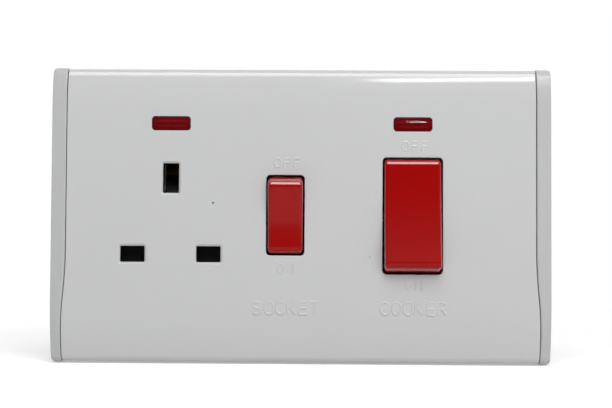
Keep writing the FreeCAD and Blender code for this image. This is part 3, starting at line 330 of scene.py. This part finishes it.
def coil(name, body, start, end, radius, wire, turns, finish):
    """A wound wire spring from one point to another, its end turns closed up."""
    axis = Vector(end) - Vector(start)
    length = axis.length - 2 * wire
    turn = axis.to_track_quat("Z", "X").to_matrix().to_4x4()
    upward = Vector((0, 0, 1))
    corners = [corner * math.tau / wire_sides for corner in range(wire_sides)]
    steps = turns * turn_steps
    closed = 1.0 / turns
    form = bmesh.new()
    rings = []
    for step in range(steps + 1):
        share = step / steps
        angle = share * turns * math.tau
        rise = min(max((share - closed) / (1 - 2 * closed), 0.0), 1.0)
        end_lift = wire * 2 * (min(share, closed) + max(share - 1 + closed, 0.0)) / closed
        outward = Vector((math.cos(angle), math.sin(angle), 0.0))
        centre = outward * (radius - wire)
        centre.z = wire + end_lift + rise * (length - 4 * wire)
        spokes = [math.cos(corner) * outward + math.sin(corner) * upward for corner in corners]
        rings.append([form.verts.new(centre + wire * spoke) for spoke in spokes])
    for here, there in zip(rings, rings[1:]):
        for corner in range(wire_sides):
            following = corner + 1 - wire_sides
            form.faces.new((here[corner], there[corner], there[following], here[following]))
    form.faces.new(rings[0])
    form.faces.new(rings[-1][::-1])
    bmesh.ops.recalc_face_normals(form, faces=form.faces)
    for face in form.faces:
        face.smooth = True
    form.transform(Matrix.Translation(start) @ turn)
    mesh = bpy.data.meshes.new(name)
    form.to_mesh(mesh)
    form.free()
    mesh.materials.append(finish)
    piece = linked(name, mesh)
    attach(piece, body)
    return piece


shutter_black = moulded("shutter black", (0.004, 0.004, 0.004), roughness=0.5, mottle=0.1,
                        mottle_size=120.0, grain_size=2200.0, grain_depth=0.00002)
eased("socket_shutter", "shutter", softness=0.0002, finish=shutter_black)
spring_wire = metal("spring wire", (0.50, 0.49, 0.47), (0.28, 0.26, 0.24), dullness=0.4, roughness=0.3,
                    streak=(900, 900, 900), streak_depth=0.000002)
low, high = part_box("shutter_spring")
middle = (low + high) / 2
shutter_coil = coil("shutter_coil", "unit", (middle.x, middle.y, low.z), (middle.x, middle.y, high.z),
                    radius=(high.x - low.x) / 2, wire=0.00016, turns=11, finish=spring_wire)
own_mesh(shutter_coil)
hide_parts("shutter_spring")


# Neon lamps and resistors: a small glass lamp behind each lens, with a carbon resistor on one lead.
# Glass with a smoky orange tint, and a buff lacquer body with a rough skin.
# The lamps lie in cradles on the frame, and their leads run back to the straps.
lamp_glass = moulded("lamp glass", (0.55, 0.36, 0.25), roughness=0.08, mottle=0.2,
                     mottle_size=350.0, grain_size=900.0, grain_depth=0.0)
shader_of(lamp_glass).inputs["Transmission Weight"].default_value = 0.6
shader_of(lamp_glass).inputs["IOR"].default_value = 1.5
refinish(("socket_neon_lamp", "cooker_neon_lamp"), lamp_glass)
resistor_buff = moulded("resistor lacquer", (0.42, 0.30, 0.16), roughness=0.45, mottle=0.12,
                        mottle_size=500.0, grain_size=3000.0, grain_depth=0.00003)
refinish(("neon_resistors",), resistor_buff)


# Rockers with their plungers: the two red switch caps, each rocking on trunnions in the frame's posts.
# Glossy red plastic, faintly mottled and dusty, and pale nylon plungers on coil springs.
# The caps are pressed into their posts from the front and fill the cover's apertures.
pivot_y, inner_y, end_round, side_round = -0.0066, 0.0014, 0.002, 0.0011
side_cuts, dish_cuts, end_cuts = 8, 8, 16
skin_slack, turn_slack, flat_side = 2e-5, 0.002, 0.999
spring_floor, spring_tail = 0.001, 0.003


def sliced(form, faces, planes):
    """Cut faces along planes, each a point and a normal, and return the vertices of the pieces."""
    parts = faces + list({edge for face in faces for edge in face.edges})
    parts += list({vert for face in faces for vert in face.verts})
    for point, normal in planes:
        cut = bmesh.ops.bisect_plane(form, geom=parts, dist=1e-7, plane_co=point, plane_no=normal)
        parts = cut["geom"]
    return [part for part in parts if isinstance(part, bmesh.types.BMVert)]


def cap_skin(middle_x, width, reach, face_y, tilt):
    """A function that cuts a rocker's skin finely and lays it on its true dish and rounds."""
    sweep = math.hypot(reach, inner_y)
    face_z = math.sqrt(sweep ** 2 - face_y ** 2)
    dish = face_z / math.sin(abs(tilt))
    dish_y = face_y - dish * math.cos(tilt)
    far, near = dish + end_round, sweep - end_round
    ball_y = (near ** 2 - far ** 2 + dish_y ** 2) / (2 * dish_y)
    ball_z = math.sqrt(near ** 2 - ball_y ** 2)
    end_turn = math.atan2(ball_z, ball_y)
    dish_turn = math.atan2(ball_z, ball_y - dish_y)
    place = Matrix.Translation((middle_x, pivot_y, 0.0)) @ Matrix.Rotation(tilt, 4, "X")
    home = place.inverted()

    def rounded_end(spot, slack=0.0):
        """True for a spot on the round between the dish and an end."""
        return (math.atan2(abs(spot.z), spot.y) > end_turn - slack
                and math.atan2(abs(spot.z), spot.y - dish_y) > dish_turn - slack)

    def depth(spot):
        """How far a spot lies under the skin."""
        y, z = spot.y, abs(spot.z)
        under = min(sweep - math.hypot(y, z), math.hypot(y - dish_y, z) - dish)
        if rounded_end(spot):
            under = end_round - math.hypot(y - ball_y, z - ball_z)
        aside = width / 2 - abs(spot.x)
        if under < side_round and aside < side_round:
            return side_round - math.hypot(side_round - under, side_round - aside)
        return min(under, aside)

    def laid(spot):
        """The place on the true skin nearest to a spot."""
        nudge = 1e-6
        for _ in range(3):
            rises = [depth(spot + nudge * axis) - depth(spot) for axis in Matrix.Identity(3)]
            spot = spot - depth(spot) * (Vector(rises) / nudge)
        return spot

    def on_skin(form):
        """The faces of the skin, without the flat sides."""
        return [face for face in form.faces if abs(face.normal.x) < flat_side
                and all(abs(depth(home @ vert.co)) < skin_slack for vert in face.verts)]

    def at_end(face, side):
        """True for a face on the round at one end."""
        spots = [home @ vert.co for vert in face.verts]
        return all(side * spot.z > 0 and rounded_end(spot, turn_slack) for spot in spots)

    def refine(form, faces, planes):
        """Cut faces along planes and lay the pieces on the true skin."""
        for vert in sliced(form, faces, planes):
            vert.co = place @ laid(home @ vert.co)

    def reskin(form):
        """Refine one rocker."""
        turn = place.to_3x3()
        steps = [math.sin(math.radians(90 * step / side_cuts)) for step in range(side_cuts)]
        planes = [(place @ Vector((side * (width / 2 - side_round + side_round * step), 0, 0)), (1, 0, 0))
                  for side in (-1, 1) for step in steps]
        planes += [(place @ Vector((0, 0, ball_z * step / dish_cuts)), turn @ Vector((0, 0, 1)))
                   for step in range(1 - dish_cuts, dish_cuts)]
        refine(form, on_skin(form), planes)
        span = dish_turn + math.pi - end_turn
        angles = [end_turn + span * step / end_cuts for step in range(end_cuts + 1)]
        for side in (-1, 1):
            ends = [face for face in on_skin(form) if at_end(face, side)]
            planes = [(place @ Vector((0, ball_y, side * ball_z)),
                       turn @ Vector((0, -math.sin(angle), side * math.cos(angle)))) for angle in angles]
            refine(form, ends, planes)

    return reskin


rocker_red = moulded("rocker red", (0.32, 0.0012, 0.001), roughness=0.12, mottle=0.05,
                     mottle_size=70.0, grain_size=1600.0, grain_depth=0.000003)
shader_of(rocker_red).inputs["Coat Weight"].default_value = 1.0
shader_of(rocker_red).inputs["Coat Roughness"].default_value = 0.06
dust(rocker_red, spacing=260.0, share=0.02, dirt=(0.36, 0.05, 0.045))
plunger_nylon = moulded("plunger nylon", (0.66, 0.64, 0.57), roughness=0.4, mottle=0.04,
                        mottle_size=300.0, grain_size=2500.0, grain_depth=0.00001)
shader_of(plunger_nylon).inputs["Subsurface Weight"].default_value = 0.2
shader_of(plunger_nylon).inputs["Subsurface Radius"].default_value = (0.0012, 0.001, 0.0008)
for switch, poles, tilt, width, reach, face_y in (
        ("socket", ("socket",), math.radians(7), 0.0102, 0.01135, -0.0056),
        ("cooker", ("cooker_live", "cooker_neutral"), math.radians(-7), 0.0166, 0.01665, -0.006)):
    low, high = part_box(switch + "_rocker")
    reskin = cap_skin((low.x + high.x) / 2, width, reach, face_y, tilt)
    cap = eased(switch + "_rocker", switch + "_rocker", softness=0.0001, finish=rocker_red, reshape=reskin)
    refinish([pole + "_plunger" for pole in poles], plunger_nylon)
    for pole in poles:
        barrel = Vector((0.0, math.cos(tilt), math.sin(tilt)))
        low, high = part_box(pole + "_plunger_spring")
        pivot = Vector(((low.x + high.x) / 2, pivot_y, 0.0))
        floor, tail = pivot - spring_floor * barrel, pivot + spring_tail * barrel
        plunger_coil = coil(pole + "_plunger_coil", switch + "_rocker", floor, tail,
                            radius=(high.x - low.x) / 2, wire=0.00013, turns=7, finish=spring_wire)
        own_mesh(plunger_coil)
        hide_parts(pole + "_plunger_spring")


# Front cover: the crowned white plate with the socket's slots, the rocker apertures and neon windows.
# White thermoset from a polished tool, glossy, with the odd speck of dirt on its face.
# It clips over the mounting frame, between the two cheeks, and hides the holes for the wall screws.
plate_half_height, plate_face, roll_radius = 0.043, -0.010, 0.0025
crown_cuts, roll_cuts = 20, 16
same_place, slot_slack, wall_slope = 1e-6, 0.0001, 0.1
slots = ((-0.0269, -0.0115, 0.007, 0.0046), (-0.0491, -0.0115, 0.007, 0.0046),
         (-0.038, 0.0107, 0.0046, 0.0086))
placed_specks = ((-0.0256, 0.0035, 0.0004, 0.06), (0.0201, -0.0121, 0.0003, 0.25))


def crowned(form):
    """Cut the plate's rolled long edges into fine strips that lie on their true arcs."""
    for up, flat_end, crown in ((1, 0.032, 0.036), (-1, 0.025, 0.063)):
        slant = (plate_half_height - flat_end - roll_radius) / (crown - roll_radius)
        turn = math.asin(slant)
        crown_y = plate_face + crown
        edge_y = crown_y - (crown - roll_radius) * math.cos(turn)
        edge_z = plate_half_height - roll_radius
        fall_z = flat_end + crown * slant

        def rolled_y(z):
            """Where the rolled surface lies at one height."""
            if z <= fall_z:
                return crown_y - math.sqrt(crown ** 2 - (z - flat_end) ** 2)
            return edge_y - math.sqrt(max(roll_radius ** 2 - (z - edge_z) ** 2, 0.0))

        def rolled(face):
            """True for a strip of the rolled surface."""
            return all(flat_end - same_place < up * vert.co.z < edge_z + roll_radius + same_place
                       and abs(vert.co.y - rolled_y(up * vert.co.z)) < skin_slack for vert in face.verts)

        quarter = math.pi / 2 - turn
        levels = [flat_end + crown * math.sin(turn * step / crown_cuts)
                  for step in range(1, crown_cuts + 1)]
        levels += [edge_z + roll_radius * math.sin(turn + quarter * step / roll_cuts)
                   for step in range(1, roll_cuts)]
        strips = [face for face in form.faces if rolled(face)]
        for vert in sliced(form, strips, [((0, 0, up * level), (0, 0, 1)) for level in levels]):
            if flat_end < up * vert.co.z < edge_z + roll_radius:
                vert.co.y = rolled_y(up * vert.co.z)


def within(spot, low, high):
    """True for a spot inside a rectangle of the plate's face."""
    return low.x < spot.x < high.x and low.z < spot.z < high.z


def front_form(form):
    """Round the plate's long edges, and paint shade on the walls inside the slots and the neon windows:
    black in the slots, dark red in the windows.
    """
    crowned(form)
    throats = []
    for x, z, wide, tall in slots:
        corner = Vector((wide / 2 + slot_slack, 0, tall / 2 + slot_slack))
        throats.append((Vector((x, 0, z)) - corner, Vector((x, 0, z)) + corner))
    windows = [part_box("socket_neon_lens"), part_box("cooker_neon_lens")]
    for face in form.faces:
        if abs(face.normal.y) < wall_slope:
            middle = face.calc_center_median()
            if any(within(middle, low, high) for low, high in throats):
                face.material_index = 1
            elif any(within(middle, low, high) for low, high in windows):
                face.material_index = 2


cover_white = moulded("cover white", (0.547, 0.549, 0.55), roughness=0.1, mottle=0.008,
                      mottle_size=30.0, grain_size=1300.0, grain_depth=0.000004)
dust(cover_white, spacing=75.0, share=0.035, dirt=(0.22, 0.20, 0.18))
tree = cover_white.node_tree
where = add(tree, "ShaderNodeTexCoord").outputs["Object"]
for speck_x, speck_z, speck_round, grey in placed_specks:
    off = add(tree, "ShaderNodeVectorMath", {0: where, 1: (speck_x, plate_face, speck_z)},
              operation="DISTANCE")
    mask = add(tree, "ShaderNodeMapRange",
               {"Value": off.outputs["Value"], "From Min": speck_round, "From Max": speck_round / 2})
    soil(cover_white, mask.outputs["Result"], (grey, grey, grey))
# Painted shade: black laid on the white cover's walls inside the slots, where only shade falls.
painted_throat_shade = moulded("painted throat shade", (0.008, 0.007, 0.006), roughness=0.5, mottle=0.1,
                       mottle_size=120.0, grain_size=2200.0, grain_depth=0.00001)
front = eased("front_cover", "unit", softness=0.00015, finish=cover_white, reshape=front_form)
front.data.materials.append(painted_throat_shade)


# Neon lenses: two red windows that stand just proud of the cover over each circuit.
# Dark transparent red plastic with a cushion front, wavy where it cooled, and a dark red painted shade on
# its rim and on the cover's window walls.
# A flange behind the cover's wall holds each one in its window.
lens_proud, rim_shade_depth = 0.0004, 0.00036
cushion_rise, cushion_half, cushion_bow, deepest_fall = 0.000265, 0.0015, 8.0, 0.00034
settling = 6
grid_x, grid_z, cuts_x, cuts_z = 0.0005, 0.00015, 10, 12


def cushioned(form):
    """Swell the lens's front to a cushion in a low border, and give its rim by the cover a painted shade.
    """
    middle_x = (min(vert.co.x for vert in form.verts) + max(vert.co.x for vert in form.verts)) / 2
    middle_z = (min(vert.co.z for vert in form.verts) + max(vert.co.z for vert in form.verts)) / 2
    proud = [face for face in form.faces
             if all(vert.co.y < plate_face + same_place for vert in face.verts)]
    planes = [((middle_x + grid_x * step, 0, 0), (1, 0, 0)) for step in range(-cuts_x, cuts_x + 1)]
    planes += [((0, 0, middle_z + grid_z * step), (0, 0, 1)) for step in range(-cuts_z, cuts_z + 1)]
    points = sliced(form, proud, planes)
    for face in form.faces:
        face.material_index = 1 if face.calc_center_median().y > plate_face - rim_shade_depth else 0
    for vert in points:
        share = (plate_face - vert.co.y) / lens_proud
        aside, up = vert.co.x - middle_x, vert.co.z - middle_z
        fall = cushion_rise * (1 - math.cos(math.pi * min(abs(up) / cushion_half, 1.0))) / 2
        fall = (fall + cushion_bow * aside ** 2) / deepest_fall
        vert.co.y += share * deepest_fall * fall / (1 + fall ** settling) ** (1 / settling)


lens_red = moulded("lens red", (0.25, 0.0015, 0.005), roughness=0.05, mottle=0.12,
                   mottle_size=260.0, grain_size=600.0, grain_depth=0.00002)
shader_of(lens_red).inputs["Transmission Weight"].default_value = 0.5
shader_of(lens_red).inputs["IOR"].default_value = 1.49
# Painted shade: a dark red for the lens's rim by the cover and for the cover's window walls, where only
# shade falls.
painted_rim_shade = moulded("painted rim shade", (0.045, 0.005, 0.006), roughness=0.45, mottle=0.1,
                  mottle_size=300.0, grain_size=900.0, grain_depth=0.00001)
shader_of(painted_rim_shade).inputs["Specular IOR Level"].default_value = 0.15
front.data.materials.append(painted_rim_shade)
for node in ("socket_neon_lens", "cooker_neon_lens"):
    window = eased(node, "unit", softness=0.0, finish=lens_red, reshape=cushioned)
    window.data.materials.append(painted_rim_shade)


# Raised marks: plain capitals that say which way each rocker is off and on, and what it feeds.
# Part of the cover's own moulding, so they have its colour and gloss and show only by their slopes.
# Each stroke is a round bar sunk in the face until only a low swelling stands out of it.
stroke_round, stroke_sunk, stretch, letter_wide = 0.0005, 0.00036, 1.2, 0.55
arc_cuts = 16


def arc(middle_x, middle_y, wide, tall, start, end):
    """Points on part of an ellipse, its angles in degrees."""
    turns = [math.radians(start + (end - start) * step / arc_cuts) for step in range(arc_cuts + 1)]
    return [(middle_x + wide * math.cos(turn), middle_y + tall * math.sin(turn)) for turn in turns]


capitals = {
    "C": [arc(0.31, 0.5, 0.31, 0.5, 50, 310)],
    "E": [[(0.5, 1), (0, 1), (0, 0), (0.5, 0)], [(0, 0.5), (0.46, 0.5)]],
    "F": [[(0.5, 1), (0, 1), (0, 0)], [(0, 0.5), (0.46, 0.5)]],
    "K": [[(0, 1), (0, 0)], [(0.5, 1), (0, 0.42)], [(0.14, 0.58), (0.52, 0)]],
    "N": [[(0, 0), (0, 1), (0.52, 0), (0.52, 1)]],
    "O": [arc(0.31, 0.5, 0.31, 0.5, 0, 360)],
    "R": [[(0, 0), (0, 1)] + arc(0.25, 0.74, 0.27, 0.26, 90, -90) + [(0, 0.48)],
          [(0.25, 0.48), (0.52, 0)]],
    "S": [arc(0.25, 0.75, 0.25, 0.25, 30, 270) + arc(0.25, 0.25, 0.25, 0.25, 90, -150)],
    "T": [[(0, 1), (0.54, 1)], [(0.27, 1), (0.27, 0)]],
}
for name, word, middle_x, middle_z, tall, spacing in (
        ("socket_off_mark", "OFF", -0.0040, 0.0153, 0.00265, 1.1),
        ("socket_on_mark", "ON", -0.0044, -0.0155, 0.00265, 1.1),
        ("cooker_off_mark", "OFF", 0.0332, 0.02035, 0.00265, 1.1),
        ("cooker_on_mark", "ON", 0.0330, -0.0203, 0.00265, 1.1),
        ("socket_mark", "SOCKET", -0.0042, -0.0270, 0.0036, 0.935),
        ("cooker_mark", "COOKER", 0.0329, -0.0270, 0.0036, 0.935)):
    strokes = bpy.data.curves.new(name, "CURVE")
    strokes.dimensions = "3D"
    strokes.bevel_depth = stroke_round
    strokes.bevel_resolution = 4
    strokes.use_fill_caps = True
    start_x = middle_x - (spacing * (len(word) - 1) + letter_wide * stretch) * tall / 2
    for place, letter in enumerate(word):
        for line in capitals[letter]:
            closed = math.dist(line[0], line[-1]) < same_place
            stroke = strokes.splines.new("POLY")
            stroke.points.add(len(line) - 2 if closed else len(line) - 1)
            stroke.use_cyclic_u = closed
            for point, (x, z) in zip(stroke.points, line):
                point.co = (start_x + (spacing * place + stretch * x) * tall, plate_face + stroke_sunk,
                            middle_z + (z - 0.5) * tall, 1.0)
    strokes.materials.append(cover_white)
    mark = linked(name, strokes)
    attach(mark, "unit")


# Studio: a pale floor under the unit, a white surround, soft lamps above and to the right.
# The floor is matt paint that goes white with distance, and the unit's gloss mirrors a dimmer room.
# Nothing here belongs to the unit.
floor_half, floor_gap = 2.0, 0.0003
corners = [(-floor_half, -floor_half, 0), (floor_half, -floor_half, 0), (floor_half, floor_half, 0),
           (-floor_half, floor_half, 0)]
floor_mesh = bpy.data.meshes.new("studio_floor")
floor_mesh.from_pydata(corners, [], [(0, 1, 2, 3)])
studio_floor = linked("studio_floor", floor_mesh)
studio_floor.location.z = cad_low.z - floor_gap


def mirror_rays(tree, path):
    """A mask of the rays that were mirrored by gloss or passed through glass."""
    return add(tree, "ShaderNodeMath",
               {0: path.outputs["Is Glossy Ray"], 1: path.outputs["Is Transmission Ray"]},
               operation="MAXIMUM")


floor_paint = bpy.data.materials.new("floor paint")
floor_paint.use_nodes = True
tree = floor_paint.node_tree
tree.nodes.clear()
path = add(tree, "ShaderNodeLightPath")
where = add(tree, "ShaderNodeTexCoord").outputs["Object"]
away = add(tree, "ShaderNodeVectorMath", {0: where}, operation="LENGTH")
fade = add(tree, "ShaderNodeMapRange",
           {"Value": away.outputs["Value"], "From Min": 0.08, "From Max": 0.22},
           interpolation_type="SMOOTHSTEP")
tooth = add(tree, "ShaderNodeTexNoise", {"Vector": where, "Scale": 90.0, "Detail": 2.0})
pale = add(tree, "ShaderNodeMapRange", {"Value": tooth.outputs["Fac"], "To Min": 0.86, "To Max": 0.9})
painted = add(tree, "ShaderNodeBsdfDiffuse", {"Color": pale.outputs["Result"]})
lift = add(tree, "ShaderNodeEmission", {"Strength": 0.3})
raised = add(tree, "ShaderNodeAddShader", {0: painted.outputs[0], 1: lift.outputs[0]})
white = add(tree, "ShaderNodeEmission", {"Strength": 1.0})
photographed = add(tree, "ShaderNodeMixShader",
                   {0: fade.outputs["Result"], 1: raised.outputs[0], 2: white.outputs[0]})
place = add(tree, "ShaderNodeSeparateXYZ", {"Vector": where})
behind = add(tree, "ShaderNodeMapRange",
             {"Value": place.outputs["Y"], "From Min": 0.0, "From Max": 0.1})
ahead = add(tree, "ShaderNodeMapRange",
            {"Value": place.outputs["Y"], "From Min": -0.235, "From Max": -0.26,
             "To Min": 0.18, "To Max": 0.03})
brightest = add(tree, "ShaderNodeMath",
                {0: behind.outputs["Result"], 1: ahead.outputs["Result"]}, operation="MAXIMUM")
mirrored = add(tree, "ShaderNodeEmission", {"Strength": brightest.outputs[0]})
mirror = mirror_rays(tree, path)
glow = add(tree, "ShaderNodeEmission", {"Strength": 0.14})
bounced = add(tree, "ShaderNodeAddShader", {0: painted.outputs[0], 1: glow.outputs[0]})
unseen = add(tree, "ShaderNodeMixShader",
             {0: mirror.outputs[0], 1: bounced.outputs[0], 2: mirrored.outputs[0]})
surface = add(tree, "ShaderNodeMixShader",
              {0: path.outputs["Is Camera Ray"], 1: unseen.outputs[0], 2: photographed.outputs[0]})
add(tree, "ShaderNodeOutputMaterial", {"Surface": surface.outputs[0]})
floor_mesh.materials.append(floor_paint)
studio_floor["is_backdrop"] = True

surround = bpy.data.worlds.new("studio surround")
surround.use_nodes = True
bpy.context.scene.world = surround
tree = surround.node_tree
tree.nodes.clear()
path = add(tree, "ShaderNodeLightPath")
mirror = mirror_rays(tree, path)
seen = add(tree, "ShaderNodeMath",
           {0: mirror.outputs[0], 1: path.outputs["Is Camera Ray"]}, operation="MAXIMUM")
outward = add(tree, "ShaderNodeTexCoord").outputs["Generated"]
towards = add(tree, "ShaderNodeSeparateXYZ", {"Vector": outward})
height = add(tree, "ShaderNodeMapRange",
             {"Value": towards.outputs["Z"], "From Min": -1.0, "From Max": 1.0})
room = add(tree, "ShaderNodeValToRGB", {"Fac": height.outputs["Result"]})
room_light = [(0.0, 0.16), (0.4, 0.16), (0.45, 0.02), (0.6, 0.03), (0.7, 0.12), (0.8, 0.2), (0.95, 0.7)]
stops = room.color_ramp.elements
for position, _ in room_light[2:]:
    stops.new(position)
for stop, (position, strength) in zip(stops, room_light):
    stop.position = position
    stop.color = (strength, strength, strength, 1.0)
behind = add(tree, "ShaderNodeMapRange",
             {"Value": towards.outputs["Y"], "From Min": -0.35, "From Max": 0.15})
lit = add(tree, "ShaderNodeMath",
          {0: room.outputs["Color"], 1: behind.outputs["Result"]}, operation="MAXIMUM")
shown = add(tree, "ShaderNodeMath",
            {0: lit.outputs[0], 1: path.outputs["Is Camera Ray"]}, operation="MAXIMUM")
rear = add(tree, "ShaderNodeMapRange",
           {"Value": towards.outputs["Y"], "From Min": 0.0, "From Max": 0.8,
            "To Min": 0.06, "To Max": 0.8})
dome = add(tree, "ShaderNodeBackground",
           {"Color": (0.97, 0.985, 1.0, 1.0), "Strength": rear.outputs["Result"]})
white = add(tree, "ShaderNodeBackground",
            {"Color": (1.0, 1.0, 1.0, 1.0), "Strength": shown.outputs[0]})
both = add(tree, "ShaderNodeMixShader", {0: seen.outputs[0], 1: dome.outputs[0], 2: white.outputs[0]})
add(tree, "ShaderNodeOutputWorld", {"Surface": both.outputs[0]})
white_watts = 4


def lamp(name, place, aim, width, height, brightness):
    """A soft rectangular lamp; the brightness is that of its own face, where 1 is white."""
    light = bpy.data.lights.new(name, "AREA")
    light.shape = "RECTANGLE"
    light.size = width
    light.size_y = height
    light.energy = brightness * white_watts * width * height
    holder = linked(name, light)
    holder.location = place
    holder.rotation_euler = (Vector(aim) - Vector(place)).to_track_quat("-Z", "Y").to_euler()
    return holder


lamp("overhead_softbox", (0.0, -0.62, 0.86), aim=(0.0, -0.01, 0.04),
     width=0.75, height=0.6, brightness=4.4)
side_light = lamp("right_softbox", (1.02, -1.02, 0.40), aim=(0.0, -0.01, 0.0),
                  width=0.8, height=0.8, brightness=1.5)
side_light.visible_glossy = False
lamp("right_strip", (0.36, -0.80, 0.614), aim=(0.05, -0.01, 0.04),
     width=0.62, height=0.06, brightness=12.0)


# Camera: level with the plate's lower half and almost square to its face, as the photograph was taken.
# It stands just right of the middle and looks up by a few degrees.
# The lens is worked out for a frame 612 pixels wide; the photograph is 612 by 408.
look_at = Vector((0.00151, -0.010, 0.0033))
distance = 0.35
across, up, roll = math.radians(0.55), math.radians(-2.0), math.radians(0.34)
picture_wide, pixels_per_metre, sensor_wide = 612, 3432.0, 36.0
back = Vector((math.sin(across) * math.cos(up), -math.cos(across) * math.cos(up), math.sin(up)))
lens = bpy.data.cameras.new("photo_camera")
lens.sensor_width = sensor_wide
lens.lens = pixels_per_metre * distance * sensor_wide / picture_wide
lens.clip_start = 0.01
camera = linked("photo_camera", lens)
facing = back.to_track_quat("Z", "Y").to_matrix().to_4x4()
camera.matrix_world = Matrix.Translation(look_at + distance * back) @ facing @ Matrix.Rotation(roll, 4, "Z")
bpy.context.scene.camera = camera
bpy.context.scene.view_settings.view_transform = "Standard"

low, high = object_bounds()
